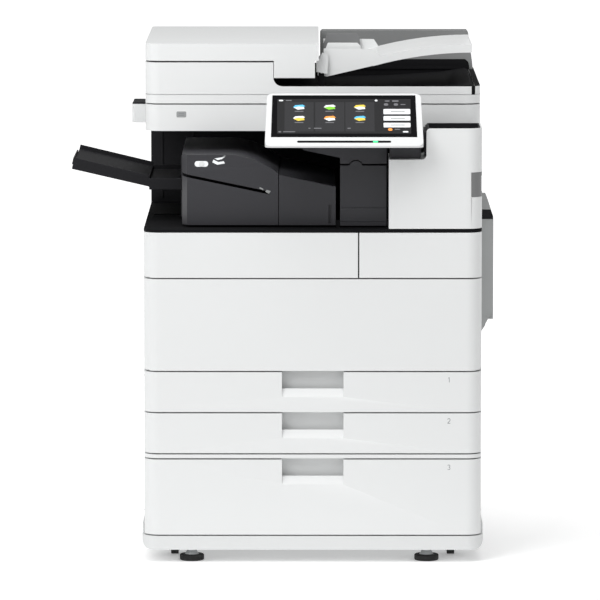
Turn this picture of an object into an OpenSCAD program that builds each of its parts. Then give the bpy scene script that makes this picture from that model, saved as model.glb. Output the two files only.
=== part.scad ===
// Floor-standing A3 photocopier: three paper drawers, flatbed reader with a document feeder,
// inner finisher with a side stack tray, tilting touch panel and a fold-down hand-feed tray.
// Working frame: x = 0 on the middle of the body, y = 0 on the faces of the drawers, z = 0 on the floor.
// place() then moves everything so that the origin is the bottom centre of the bounding box.

/* [Body] */
// Width over the drawers and doors
body_w = 620; // [600:1:720]
// Depth from the drawer faces to the rear cover
body_d = 670; // [650:1:760]
// Radius of the two front vertical corners
corner_r = 28; // [20:1:28]
// Wall of the moulded covers
wall = 3; // [2:0.5:4]
// Gap between neighbouring front panels
gap = 2.4; // [2.2:0.1:3]
// Depth of the side returns of the front panels
return_d = 30; // [29:1:34]

/* [Heights] */
// Floor to the underside of the plinth
ground_clear = 24; // [24:1:40]
// Plinth height
plinth_h = 25.6; // [20:0.2:40]
// Deep drawer front height
deep_h = 139.4; // [130:0.2:200]
// Joint strip over the deep drawer
strip_h = 7; // [4:0.5:20]
// Upper and middle drawer front height
cassette_h = 73.8; // [72:0.2:100]
// Front door height
door_h = 169; // [165:1:220]
// Toner cover height
upper_h = 83; // [82:1:110]
// Clear height between the deck and the reader
cavity_h = 170; // [165:1:220]
// Reader height
reader_h = 48.6; // [46:0.2:70]

/* [Drawers] */
// How far a drawer pulls out
drawer_travel = 420; // [300:10:440]
// Width of the finger pocket
pocket_w = 113; // [90:1:150]
// Height of the finger pocket
pocket_h = 46; // [40:1:50]
// Depth of the finger pocket
pocket_d = 24; // [18:1:26]

/* [Tower] */
// Width of the tower beside the finisher
tower_w = 170.8; // [150:1:200]
// Height of the tower over the deck
tower_h = 186; // [175:1:240]
// Height of the tower's step over the deck
step_h = 129; // [120:1:150]
// Width that the step takes off the tower
step_w = 68.4; // [60:1:80]
// Depth of the tower
tower_d = 132; // [125:1:136]

/* [Reader and feeder] */
// Set-back of the reader behind the drawer faces
reader_y = 140; // [138:1:160]
// Height of the feeder base
feeder_base_h = 31.6; // [30:0.2:45]
// Height of the feeder's left housing over its base
housing_h = 44.2; // [42:0.2:60]
// Height of the feed cover
cover_h = 31.8; // [28:0.2:45]
// Width of the left housing
housing_w = 237; // [220:1:250]
// Width of the feed cover
cover_w = 321; // [315:1:330]

/* [Control panel] */
// Panel width at its lower edge
panel_w = 288; // [240:1:290]
// Panel length along its slope
panel_l = 150; // [130:1:150]
// Panel thickness
panel_t = 20; // [16:1:24]
// Lean of the panel from upright, in degrees
panel_lean = 55; // [50:1:60]

/* [Finisher] */
// Width of the stapler housing
staple_w = 177; // [160:1:180]
// Depth of the stack tray
stack_d = 290; // [260:1:300]
// Rise of the stack tray, in degrees
stack_rise = 13; // [8:1:16]

/* [Feet and casters] */
// Radius of a levelling foot's pad
foot_r = 22.5; // [18:0.5:28]
// Radius of a caster wheel
caster_r = 14; // [12:0.5:16]

/* [Hidden] */
$fn = 48;
slit = 0.3;           // running clearance of what slides or seats
pin_r = 2;            // hinge pins
pin_play = 0.1;       // radial play of a pin
sheet = 2;            // steel sheet
hinge_h = 23;         // hinge pins of the front door and toner cover over their lower edges
deck_t = 4.4;
half_w = body_w / 2;
z_plinth = ground_clear;
z_base = z_plinth + plinth_h;
z_deep = z_base + gap;
z_strip = z_deep + deep_h + gap;
z_low = z_strip + strip_h + gap;
z_top = z_low + cassette_h + gap;
z_door = z_top + cassette_h + gap;
z_upper = z_door + door_h + gap;
z_deck = z_upper + upper_h + 1;
z_cavity = z_deck + deck_t;
z_reader = z_cavity + cavity_h;
z_glass = z_reader + reader_h;
z_feeder = z_glass + gap;
z_rim = z_feeder + feeder_base_h;
z_housing = z_rim + housing_h;
z_cover = z_housing + 3;
z_lid = z_cover + cover_h;
side_y = return_d + gap;             // front edge of the side covers
split_x = half_w - 226;              // joint between the toner cover and the fixed cover
frame_x = half_w - 22;               // inner face of the side frames
frame_y0 = return_d + 22;
frame_y1 = body_d - 30;
wall_y = body_d - 140;               // face of the cavity's back wall
tower_x = half_w - tower_w;
finisher_y = 47;
stack_x = tower_x - 379.5;           // left face of the finisher
seam_x = stack_x + staple_w;         // right edge of the stapler housing
jam_x = tower_x - 89;                // left edge of the jam door
stack_y = 150;
stack_z = z_cavity + 60;             // underside of the stack tray
stack_bend = stack_x - 63;
stack_step = 5.5;                    // the rising part starts a little higher than the level one
stack_len = 147;
panel_x = half_w - 253;              // middle of the panel
panel_y = -8.5;
panel_z = z_glass - 15.5;
hand_y0 = 150;
hand_y1 = 470;
feeder_y1 = reader_y + 500;
tray_x0 = -half_w + cover_w + 3;     // left end of the rear wall of the feeder
caster_x = half_w - 54;
caster_y = [100, body_d - 85];
foot_xs = [-half_w + 87, half_w - 100];
foot_y = 38;

// The bounding box, for the origin
box_x0 = stack_bend - (stack_len + 3) * cos(stack_rise) + 3 * sin(stack_rise);
box_x1 = half_w + 26;
box_y0 = panel_y - panel_l / 2 * sin(panel_lean);
box_y1 = body_d + 1;

// ---------- shapes that repeat ----------

// A box between two corners.
module block(a, b) {
    translate(a) cube(b - a);
}

// Plan outline of a front panel from x0 to x1 and back to depth d, with round front corners.
module front_plan(x0, x1, d, r, left = true, right = true) {
    intersection() {
        translate([x0, 0]) square([x1 - x0, d]);
        union() {
            translate([x0, r]) square([x1 - x0, max(d - r, 1)]);
            translate([x0 + (left ? r : 0), 0]) square([x1 - x0 - (left ? r : 0) - (right ? r : 0), r + 0.5]);
            if (left) translate([x0 + r, r]) circle(r);
            if (right) translate([x1 - r, r]) circle(r);
        }
    }
}

// A front panel: a tub that is open at the back, with round outer corners.
module front_tub(x0, x1, z0, z1, left = true, right = true, d = return_d) {
    difference() {
        translate([0, 0, z0]) linear_extrude(z1 - z0) front_plan(x0, x1, d, corner_r, left, right);
        translate([0, wall, z0 + wall]) linear_extrude(z1 - z0 - 2 * wall)
            front_plan(x0 + wall, x1 - wall, d, corner_r - wall, left, right);
    }
}

// A box with four round upright corners: front ones of radius rf, rear ones of radius rb.
module round_box(x0, x1, y0, y1, z0, z1, rf, rb) {
    translate([0, 0, z0]) linear_extrude(z1 - z0) round_plan(x0, x1, y0, y1, rf, rb);
}

module round_plan(x0, x1, y0, y1, rf, rb) {
    translate([x0, y0 + rf]) square([x1 - x0, y1 - y0 - rf - rb]);
    translate([x0 + rf, y0]) square([x1 - x0 - 2 * rf, rf + 0.5]);
    translate([x0 + rb, y1 - rb - 0.5]) square([x1 - x0 - 2 * rb, rb + 0.5]);
    for (x = [x0 + rf, x1 - rf]) translate([x, y0 + rf]) circle(rf);
    for (x = [x0 + rb, x1 - rb]) translate([x, y1 - rb]) circle(rb);
}

// A round bar along X, Y or Z.
module bar_x(x0, x1, y, z, r) {
    translate([x0, y, z]) rotate([0, 90, 0]) cylinder(h = x1 - x0, r = r);
}

module bar_y(x, y0, y1, z, r) {
    translate([x, y0, z]) rotate([-90, 0, 0]) cylinder(h = y1 - y0, r = r);
}

// An outline in x and z, carried from y0 to y1.
module carried_y(y0, y1) {
    translate([0, y1, 0]) rotate([90, 0, 0]) linear_extrude(y1 - y0) children();
}

// An outline in y and z, carried from x0 to x1.
module carried_x(x0, x1) {
    translate([x0, 0, 0]) rotate([90, 0, 90]) linear_extrude(x1 - x0) children();
}

// The finger pocket in the top edge of a drawer front whose upper edge is at zt.
module pocket_cut(zt) {
    lip_z = zt - pocket_h + 15;
    intersection() {
        carried_x(-pocket_w / 2, pocket_w / 2)
            polygon([[-1, lip_z - 16.9], [8, lip_z], [11, lip_z], [11, zt - pocket_h + 4],
                     [pocket_d, zt - pocket_h + 4], [pocket_d, zt + 1], [-1, zt + 1]]);
        carried_y(-2, pocket_d + 1) {
            translate([-pocket_w / 2, zt - pocket_h + 4]) square([pocket_w, pocket_h]);
            translate([-pocket_w / 2 + 6, zt - pocket_h - 3]) square([pocket_w - 12, pocket_h]);
            for (s = [-1, 1]) translate([s * (pocket_w / 2 - 6), zt - pocket_h + 4]) circle(6);
        }
    }
}

module drawer_front(z0, z1) {
    difference() {
        union() {
            front_tub(-half_w, half_w, z0, z1);
            block([-pocket_w / 2 - wall, 1, z1 - pocket_h - wall], [pocket_w / 2 + wall, pocket_d + wall, z1]);
        }
        pocket_cut(z1);
    }
}

// A drawer's tray: the plate that closes its front, and the open box for the paper.
module drawer_tray(z0, z1, tray_h, hinged = true) {
    y0 = return_d;
    x1 = frame_x - 16;
    block([-half_w + 6, y0, z0 + 2], [half_w - 6, y0 + 2, z1 - 2]);
    difference() {
        block([-x1, y0 + 2, z0 + 5], [x1, y0 + 530, z0 + 5 + tray_h]);
        block([-x1 + 2.5, y0 + 5, z0 + 7.5], [x1 - 2.5, y0 + 527.5, z0 + 6 + tray_h]);
    }
    // stops for the paper's left and rear edges
    block([-x1 + 40, y0 + 250, z0 + 7.5], [-x1 + 43, y0 + 330, z0 + tray_h]);
    for (y = [y0 + 100, y0 + 442]) block([-x1 + 90, y, z0 + 7.5], [-x1 + 180, y + 3, z0 + tray_h]);
    if (hinged) for (y = [y0 + 101, y0 + 439]) difference() {
        block([lifter_x - 5, y, z0 + 7.5], [lifter_x + 5, y + 4, z0 + 15]);
        bar_y(lifter_x, y - 1, y + 5, z0 + 10.3, 1.8 + pin_play);
    }
}

// The hinged plate that lifts the paper's leading edge. Its pin lies along Y.
module lifter(z0) {
    y0 = return_d + 106;
    block([lifter_x, y0, z0 + 9], [frame_x - 26, y0 + 332, z0 + 10.5]);
    bar_y(lifter_x, y0, y0 + 332, z0 + 10.3, 2.5);
    bar_y(lifter_x, y0 - 4.5, y0 + 336.5, z0 + 10.3, 1.8);
}

lifter_x = frame_x - 340;

// ---------- base, frame and covers ----------

module plinth() {
    color("white") difference() {
        union() {
            intersection() {
                round_box(-half_w - 4, half_w + 4, 0, body_d, z_plinth, z_plinth + plinth_h, corner_r + 4, 12);
                // rounded along both lower sides
                carried_y(-1, body_d + 1) {
                    translate([-half_w - 4, z_plinth + 16]) square([body_w + 8, plinth_h]);
                    translate([-half_w + 12, z_plinth]) square([body_w - 24, 16.5]);
                    for (s = [-1, 1]) translate([s * (half_w - 12), z_plinth + 16]) circle(16);
                }
            }
            for (s = [-1, 1]) block([s > 0 ? half_w + 1 : -half_w - 4, corner_r + 24, z_plinth + plinth_h - 1],
                                    [s > 0 ? half_w + 4 : -half_w - 1, body_d - 24, z_plinth + plinth_h + 16]);
        }
        round_box(-half_w + 10, half_w - 10, 4, body_d - 4, z_plinth + wall, z_plinth + plinth_h - sheet, corner_r - 8, 8);
        for (x = [-caster_x, caster_x], y = caster_y) translate([x, y, z_plinth - 1]) cylinder(h = 6, r = caster_r + 13);
        for (x = foot_xs) translate([x, foot_y, z_plinth - 1]) cylinder(h = 6, r = 5 + pin_play);
    }
}

module joint_strip() {
    color("white") front_tub(-half_w, half_w, z_strip, z_strip + strip_h, d = return_d);
    // rear bar that ties the strip to the frames
    color("white") block([-frame_x, return_d - 1, z_strip + 1], [frame_x, frame_y0 + 8, z_strip + strip_h - 1]);
}

module frame() {
    side_frames();
    shelf_plates();
    drawer_runners();
}

module side_frames() {
    color("silver") for (s = [-1, 1]) difference() {
        block([s > 0 ? frame_x : -frame_x - sheet, frame_y0, z_plinth + plinth_h],
              [s > 0 ? frame_x + sheet : -frame_x, frame_y1, z_deck]);
        // window at the paper path and the jam access
        if (s > 0) block([frame_x - 1, 110, z_door + 20], [frame_x + sheet + 1, 540, z_upper + 50]);
    }
    color("silver") difference() {
        block([-frame_x, frame_y1 - sheet, z_plinth + plinth_h], [frame_x, frame_y1, z_deck]);
        bar_y(0, frame_y1 - 10, frame_y1 + 10, z_door + 120, 40);
    }
}

module shelf_plates() {
    color("silver") {
        for (z = [z_low, z_top]) shelf(z + cassette_h - 4.8);
        shelf(z_deep + deep_h - 10);
    }
    // feed rollers that hang under each shelf
    color("dimgray") for (z = [z_low + cassette_h, z_top + cassette_h, z_deep + deep_h - 5]) {
        bar_y(frame_x - 42, 290, 350, z - 13.8, 8);
        bar_y(frame_x - 42, 270, 290, z - 13.8, 3);
        bar_y(frame_x - 42, 350, 370, z - 13.8, 3);
        for (y = [262, 370]) block([frame_x - 46, y, z - 17.8], [frame_x - 38, y + 8, z - 4.8]);
    }
}

module shelf(z) {
    block([-frame_x, frame_y0 + 8, z], [frame_x, frame_y1 - sheet, z + 1.5]);
}

module drawer_runners() {
    color("silver") for (z = [z_deep, z_low, z_top], s = [-1, 1])
        difference() {
            block([s > 0 ? frame_x - 27 : -frame_x, frame_y0, z + 1.2],
                  [s > 0 ? frame_x : -frame_x + 27, frame_y0 + 520, z + 30]);
            block([s > 0 ? frame_x - 28 : -frame_x + 1.5, frame_y0 - 1, z + 5 - slit],
                  [s > 0 ? frame_x - 1.5 : -frame_x + 28, frame_y0 + 521, z + 31]);
        }
}

module left_cover() {
    color("white") difference() {
        union() {
            block([-half_w, side_y, z_base], [-half_w + wall, body_d - wall, z_deck]);
            block([-half_w, wall_y + wall, z_deck - 1], [-half_w + wall, body_d - wall, z_reader]);
            block([-half_w, side_y, z_base], [-frame_x - sheet, side_y + 4, z_deck]);
            block([-half_w, side_y + 20, z_base], [-frame_x - sheet, side_y + 24, z_deck]);
        }
        for (i = [0 : 11]) block([-half_w - 1, body_d - 130, z_door + 30 + i * 9], [-half_w + wall + 1, body_d - 50, z_door + 34 + i * 9]);
    }
}

module right_cover() {
    color("white") difference() {
        union() {
            block([half_w - wall, side_y, z_base], [half_w, body_d - wall, z_deck]);
            block([half_w - wall, tower_d + 1, z_deck - 1], [half_w, body_d - wall, z_reader]);
            block([frame_x + sheet, side_y, z_base], [half_w, side_y + 4, z_deck]);
            block([frame_x + sheet, side_y + 20, z_base], [half_w, side_y + 24, z_deck]);
        }
        block([half_w - wall - 1, tower_d + 0.5, z_door - 3], [half_w + 1, 561.5, z_cavity + 46.5]);
        for (i = [0 : 7]) block([half_w - wall - 1, body_d - 90, z_deep + 60 + i * 9], [half_w + 1, body_d - 40, z_deep + 64 + i * 9]);
    }
}

module rear_cover() {
    inlet_z = z_deep + 40;
    color("white") difference() {
        block([-half_w, body_d - wall, z_base], [half_w, body_d, z_reader]);
        for (i = [0 : 9]) block([-200, body_d - 4, z_door + 60 + i * 10], [-60, body_d + 1, z_door + 65 + i * 10]);
        bar_y(150, body_d - 4, body_d + 1, z_door + 100, 38);
        block([-half_w + 60, body_d - 4, inlet_z], [-half_w + 90, body_d + 1, inlet_z + 22]);
        for (i = [0 : 3]) block([half_w - 120 + i * 22, body_d - 4, z_deck - 40], [half_w - 106 + i * 22, body_d + 1, z_deck - 30]);
    }
    // ribs that stand the rear cover off the frame, and the cord inlet
    color("dimgray") difference() {
        block([-half_w + 60 + slit, body_d - 24, inlet_z + slit], [-half_w + 90 - slit, body_d + 1, inlet_z + 22 - slit]);
        block([-half_w + 63, body_d - 18, inlet_z + 3], [-half_w + 87, body_d + 2, inlet_z + 19]);
    }
    color("white") for (x = [-230, 230], z = [z_deep + 120, z_upper - 40])
        block([x - 5, frame_y1, z], [x + 5, body_d - wall, z + 60]);
}

module inner_cover() {
    toner = toner_place();
    color("dimgray") difference() {
        block([-frame_x, return_d + 6, z_door + 2], [frame_x, return_d + 9, z_deck - 1]);
        bar_y(toner[0], return_d, return_d + 20, toner[1], 42);
        bar_y(frame_x - 66, return_d, return_d + 20, z_door + 110, 24);
        block([-40, return_d, z_door + 40], [60, return_d + 20, z_door + 70]);
    }
    // legs to the side frames, and the ears of the door and toner cover hinges
    color("dimgray") for (s = [-1, 1]) block([s > 0 ? frame_x - 12 : -frame_x, return_d + 9, z_door + 2],
                                             [s > 0 ? frame_x : -frame_x + 12, frame_y0 + 10, z_deck - 1]);
    color("dimgray") for (x = [-220, 214]) hinge_ear(x, z_door + hinge_h);
    color("dimgray") for (x = [-220, split_x - 60]) hinge_ear(x, z_upper + hinge_h);
    // shaft bearings of the drum and the two fixing rollers, and the toner cradle
    color("dimgray") for (y = [frame_y0 + 2, 460]) difference() {
        block([frame_x - 90, y, z_door + 80], [frame_x - 4, y + 6, z_deck - 4]);
        for (p = [drum_place(), heat_place(), press_place()]) bar_y(p[0], y - 1, y + 7, p[1], 5 + pin_play);
    }
    color("dimgray") for (y = [120, 380]) difference() {
        block([toner[0] - 48, y, toner[1] - 46], [toner[0] + 48, y + 8, toner[1] - 8]);
        bar_y(toner[0], y - 1, y + 9, toner[1], 38 + slit);
    }
    color("dimgray") block([toner[0] - 48, return_d + 9, toner[1] - 48], [toner[0] + 48, 460, toner[1] - 46]);
    color("dimgray") block([toner[0] + 44, return_d + 9, toner[1] - 46], [toner[0] + 48, 120, toner[1] - 30]);
}

function toner_place() = [-half_w + 190, z_upper + 38];
function drum_place() = [frame_x - 66, z_door + 110];
function heat_place() = [frame_x - 64.5, z_upper + 40];
function press_place() = [frame_x - 35.5, z_upper + 40];

// An ear that carries a hinge pin of a bottom-hinged front cover, reaching through its open back.
module hinge_ear(x, z) {
    difference() {
        block([x, 6, z - 4], [x + 6, return_d + 6, z + 4]);
        bar_x(x - 1, x + 7, 10, z, pin_r + pin_play);
    }
}

module fixed_front_cover() {
    color("white") front_tub(split_x + gap / 2, half_w, z_upper, z_upper + upper_h, left = false);
    color("white") for (x = [split_x + 30, frame_x - 20]) block([x, 1, z_upper + 1], [x + 4, return_d + 6, z_upper + 60]);
}

module deck() {
    color("#2a2b2d") difference() {
        round_box(-half_w, half_w, 2, wall_y, z_deck, z_cavity, corner_r, 1);
        block([jam_x + 4, finisher_y + 90, z_deck - 1], [tower_x - 6, 500, z_cavity + 1]);
        block([half_w - wall - 0.4, tower_d + 0.5, z_deck - 1], [half_w + 1, wall_y + 1, z_cavity + 1]);
    }
    color("#2a2b2d") block([-half_w + wall, wall_y, z_deck], [half_w - wall, frame_y1, z_cavity]);
    color("#2a2b2d") block([-half_w + 12, 284, z_cavity - 1], [stack_x - 9, 288, z_cavity + 1.5]);
    // upstand that holds the tower cover, and the jam door's ears
    color("#2a2b2d") block([tower_x + wall, 40, z_cavity - 1], [tower_x + wall + 3, 120, z_cavity + 24]);
    color("#2a2b2d") for (x = [jam_x - 7, tower_x - 3.6]) difference() {
        block([x, finisher_y + 0.6, z_cavity - 1], [x + (x < jam_x ? 6 : 3.2), finisher_y + 10, z_cavity + 13]);
        bar_x(x - 1, x + 7, jam_pin()[0], jam_pin()[1], pin_r + pin_play);
    }
}

module cavity_wall() {
    color("#2a2b2d") {
        block([-half_w, wall_y, z_cavity], [tower_x, wall_y + wall, z_reader]);
        block([tower_x - wall, tower_d, z_cavity], [tower_x, wall_y, z_reader]);
        // ribs of the back wall
        for (x = [-half_w + 20 : 60 : stack_x + 20]) block([x, wall_y - 2, z_cavity + 10], [x + 3, wall_y, z_reader - 20]);
    }
    // posts that carry the reader, inside the rear column
    color("silver") for (x = [-half_w + 12, 0, half_w - 42]) difference() {
        block([x, wall_y + wall, z_cavity], [x + 30, wall_y + 50, z_reader]);
        block([x + 2, wall_y + wall + 2, z_cavity - 1], [x + 28, wall_y + 48, z_reader + 1]);
    }
    color("silver") block([tower_x, wall_y + wall - 40, z_cavity], [tower_x + 30, wall_y + wall, z_reader]);
}

// ---------- tower and panel ----------

module tower_front_outline(inset) {
    x0 = tower_x + inset;
    x1 = half_w + 1;
    xs = tower_x + step_w + inset;
    z0 = z_cavity + 2 - (inset > 0 ? 3 : 0);
    z1 = z_cavity + tower_h + (inset > 0 ? 3 : 0);
    zs = z_cavity + step_h - inset;
    difference() {
        union() {
            translate([x0, z0]) square([x1 - x0, zs - z0]);
            translate([xs + 7, z0]) square([x1 - xs - 7, z1 - z0]);
            translate([xs, z0]) square([20, z1 - z0 - (inset > 0 ? 0 : 7)]);
            if (inset == 0) translate([xs + 7, z1 - 7]) circle(7);
        }
    }
    // fillet in the step's inner corner
    if (inset == 0) difference() {
        translate([xs - 9, zs - 0.5]) square([9.5, 9.5]);
        translate([xs - 9, zs + 9]) circle(9);
    }
}

module tower_cover() {
    color("white") difference() {
        intersection() {
            translate([0, 0, z_cavity]) linear_extrude(tower_h + 5) front_plan(tower_x, half_w, tower_d, corner_r, false, true);
            carried_y(-1, tower_d + 1) tower_front_outline(0);
        }
        intersection() {
            translate([0, wall, z_cavity - 1]) linear_extrude(tower_h + 6)
                front_plan(tower_x + wall, half_w - wall, tower_d + 1, corner_r - wall, false, true);
            carried_y(-1, tower_d + 2) tower_front_outline(wall);
        }
        // seat of the release lever, round the corner, and of the tray's edge over the left wall
        block([half_w - 20, -1, z_cavity + 60], [half_w + 1, 62, z_cavity + 105]);
        block([tower_x + step_w - 1, wall, z_cavity + tower_h - 9], [tower_x + step_w + wall + 1, tower_d + 1, z_cavity + tower_h + 1]);
        // slot for the panel's arm
        block([tower_x + 8, 24, z_cavity + step_h - 4], [tower_x + 56, 96, z_cavity + step_h + 1]);
    }
}

// Dark tray let into the tower's top, with the dark side wall over the step.
module tower_tray() {
    x0 = tower_x + step_w + wall + slit;
    x1 = half_w - wall - slit;
    z1 = z_cavity + tower_h - 0.6;
    color("#2a2b2d") difference() {
        round_box(x0, x1, wall + slit, tower_d, z1 - 12, z1, corner_r - wall - slit, 1);
        round_box(x0 + 2.5, x1 - 2.5, wall + 3, tower_d - 2.5, z1 - 9.5, z1 + 1, corner_r - wall - 3, 1);
    }
    color("#2a2b2d") difference() {
        carried_y(wall + slit, tower_d) {
            translate([tower_x + step_w, z_cavity + tower_h - 8.7]) square([wall + 2, z1 - z_cavity - tower_h + 8.7 - 7]);
            translate([tower_x + step_w + 6.5, z1 - 7]) circle(6.5);
        }
        block([x0 + 2.5, 0, z1 - 20], [x0 + 20, tower_d + 1, z1 + 10]);
        block([tower_x + step_w - 1, 0, z1 - 20], [x0, tower_d + 1, z_cavity + tower_h - 8.7]);
    }
    color("#2a2b2d") block([tower_x + step_w - 3.4, 6, z_cavity + step_h + 10], [tower_x + step_w - slit, tower_d, z1 - 8]);
    color("#2a2b2d") block([tower_x + step_w - 3.4, 6, z1 - 8.1], [tower_x + step_w + 0.5, tower_d, z1 - 7]);
}

// Bracket that stands on the tower's step and carries the panel's tilt pin between two lugs.
module panel_arm() {
    x0 = tower_x + 10;
    zs = z_cavity + step_h;
    color("#2a2b2d") {
        block([x0, 26, zs - 30], [x0 + 44, 94, zs + 1]);
        block([tower_x + 2, 18, zs + slit], [tower_x + step_w - 10, 118, zs + 22]);
        block([x0, 24, zs + 21], [x0 + 44, 60, zs + 33]);
        block([panel_boss_x() - 10, 24, zs + 27], [x0 + 44, 60, zs + 33]);
        for (x = [panel_boss_x() - 10, panel_boss_x() + 40]) difference() {
            union() {
                block([x, panel_pin()[0], panel_pin()[1] - 8], [x + 8, 25, zs + 33]);
                bar_x(x, x + 8, panel_pin()[0], panel_pin()[1], 8);
            }
            bar_x(x - 1, x + 9, panel_pin()[0], panel_pin()[1], 4 + pin_play);
        }
    }
}

// y and z of the panel's tilt pin, and the panel's own frame: u across, v up its face, n out of its face.
function panel_pin() = [panel_y + panel_out(-20, -34)[0], panel_z + panel_out(-20, -34)[1]];
function panel_out(v, n) = [v * sin(panel_lean) - n * cos(panel_lean), v * cos(panel_lean) + n * sin(panel_lean)];

module on_panel() {
    translate([panel_x, panel_y, panel_z]) rotate([90 - panel_lean, 0, 0]) children();
}

// In on_panel(), x is across, y is up the face and z is out of the face, whose outer plane is z = 0.
module panel_housing() {
    low_edge = panel_z - panel_l / 2 * cos(panel_lean);
    color("white") difference() {
        on_panel() difference() {
            translate([0, 0, -panel_t]) linear_extrude(panel_t) panel_plan(0);
            translate([0, 0, -2]) linear_extrude(3) panel_window(0);
        }
        // level underside behind the lower edge
        block([panel_x - 200, box_y0 - 5, low_edge - 30], [panel_x + 200, box_y0 + 34, low_edge - 3.5]);
    }
    // boss with the tilt pin
    color("#2a2b2d") {
        bar_x(panel_boss_x(), panel_boss_x() + 38, panel_pin()[0], panel_pin()[1], 8);
        on_panel() translate([panel_boss_x() - panel_x + 1, -26, -34]) cube([36, 12, 34 - panel_t + 0.5]);
    }
    color("silver") bar_x(panel_boss_x() - 9, panel_boss_x() + 47, panel_pin()[0], panel_pin()[1], 4);
}

module touch_glass() {
    color("black") on_panel() translate([0, 0, -2]) linear_extrude(1.9) panel_window(0.15);
}

function panel_boss_x() = tower_x - 56;

module panel_plan(inset) {
    w0 = panel_w / 2 - inset;
    w1 = w0 - 3;
    l = panel_l / 2 - inset;
    r = 12;
    polygon([
        for (i = [0 : 5]) [w0 - r + r * cos(-90 + i * 18), -l + r + r * sin(-90 + i * 18)],
        for (i = [0 : 5]) [w1 - r + r * cos(i * 18), l - r + r * sin(i * 18)],
        for (i = [0 : 5]) [-w1 + r + r * cos(90 + i * 18), l - r + r * sin(90 + i * 18)],
        for (i = [0 : 5]) [-w0 + r + r * cos(180 + i * 18), -l + r + r * sin(180 + i * 18)]
    ]);
}

// The touch glass, above the status slot.
module panel_window(inset) {
    w = panel_w / 2 - 11 - inset;
    polygon([[-w, -panel_l / 2 + 25 + inset], [w, -panel_l / 2 + 25 + inset],
             [w - 2, panel_l / 2 - 5 - inset], [-w + 2, panel_l / 2 - 5 - inset]]);
}

// ---------- reader ----------

module reader_body() {
    glass = glass_box();
    color("white") difference() {
        round_box(-half_w, half_w, reader_y, body_d - 20, z_reader, z_glass, corner_r, 10);
        round_box(-half_w + wall, half_w - wall, reader_y + wall, body_d - 20 - wall, z_reader + wall, z_glass - 6, corner_r - wall, 8);
        // platen window and its rabbet, and the feeder's reading slit
        block([glass[0] + 4, glass[1] + 4, z_glass - 8], [glass[2] - 4, glass[3] - 4, z_glass + 1]);
        block([glass[0] - slit, glass[1] - slit, z_glass - 4], [glass[2] + slit, glass[3] + slit, z_glass + 1]);
        block([glass[0] - 30, glass[1] + 4, z_glass - 8], [glass[0] - 14, glass[3] - 4, z_glass + 1]);
    }
    // hinge sockets at the rear
    color("white") for (x = [-200, 170]) difference() {
        block([x, body_d - 24, z_glass], [x + 30, body_d - 6, z_glass + 16]);
        bar_x(x - 1, x + 31, hinge_y, z_glass + 8, 4 + pin_play);
    }
    color("white") for (x = [-200, 170]) block([x, body_d - 22, z_glass - 20], [x + 30, body_d - 6, z_glass + 1]);
    side_port_box();
}

hinge_y = body_d - 15;

// x0, y0, x1 and y1 of the platen glass
function glass_box() = [-half_w + 95, reader_y + 34, half_w - 75, reader_y + 344];

module platen_glass() {
    g = glass_box();
    color("lightblue", 0.4) block([g[0], g[1], z_glass - 4], [g[2], g[3], z_glass]);
    color("lightblue", 0.4) block([g[0] - 29.7, g[1] + 4.3, z_glass - 4], [g[0] - 14.3, g[3] - 4.3, z_glass - 0.4]);
}

rail_z = z_reader + 16;

module scan_rails() {
    color("silver") for (y = [reader_y + 60, reader_y + 330]) bar_x(-half_w + 8, half_w - 8, y, rail_z, 4);
    color("silver") for (x = [-half_w + wall, half_w - wall - 10], y = [reader_y + 60, reader_y + 330]) difference() {
        block([x, y - 9, z_reader + wall], [x + 10, y + 9, rail_z + 8]);
        bar_x(x + (x < 0 ? 5 : -1), x + (x < 0 ? 11 : 5), y, rail_z, 4);
    }
}

module scan_carriage() {
    x0 = glass_box()[0] - 30;
    color("dimgray") difference() {
        block([x0 - 12, reader_y + 40, rail_z - 8], [x0 + 30, reader_y + 350, rail_z + 16]);
        for (y = [reader_y + 60, reader_y + 330]) bar_x(x0 - 20, x0 + 40, y, rail_z, 4 + pin_play);
        block([x0, reader_y + 72, rail_z + 4], [x0 + 18, reader_y + 318, rail_z + 17]);
    }
    color("white") bar_y(x0 + 5, reader_y + 72, reader_y + 318, rail_z + 10, 3);
}

module side_port_box() {
    color("white") difference() {
        round_box(-half_w - 26, -half_w + 1, reader_y + 70, reader_y + 200, z_reader + 10, z_glass - 4, 4, 4);
        block([-half_w - 27, reader_y + 90, z_reader + 18], [-half_w - 21, reader_y + 103, z_reader + 25]);
    }
    color("#2a2b2d") block([-half_w - 25.5, reader_y + 71, z_glass - 4.2], [-half_w + 1, reader_y + 78, z_glass - 1.2]);
}

// ---------- feet and casters ----------

module levelling_feet() {
    color("#202020") for (x = foot_xs) translate([x, foot_y, 0]) {
        cylinder(h = 2, r1 = foot_r - 1.5, r2 = foot_r);
        translate([0, 0, 2]) cylinder(h = 7.5, r = foot_r);
        translate([0, 0, 9.5]) cylinder(h = 1.5, r1 = foot_r, r2 = foot_r - 1.5);
    }
    color("silver") for (x = foot_xs) translate([x, foot_y, 0]) {
        translate([0, 0, 11]) cylinder(h = 7, r1 = 13, r2 = 9);
        translate([0, 0, 18]) cylinder(h = z_plinth + wall + 2 - 18, r = 5);
        translate([0, 0, z_plinth - 6]) cylinder(h = 6, r = 9, $fn = 6);
    }
}

module caster_mounts() {
    color("silver") for (x = [-caster_x, caster_x], y = caster_y) translate([x, y, 0]) difference() {
        union() {
            translate([0, 0, 2 * caster_r + 5]) cylinder(h = z_base - sheet - 2 * caster_r - 5, r = 8);
            translate([-18, -18, z_base - sheet - 2.5]) cube([36, 36, 2.5]);
        }
        translate([0, 0, 2 * caster_r]) cylinder(h = z_base - 2 * caster_r - 3, r = 4 + pin_play);
    }
}

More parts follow.
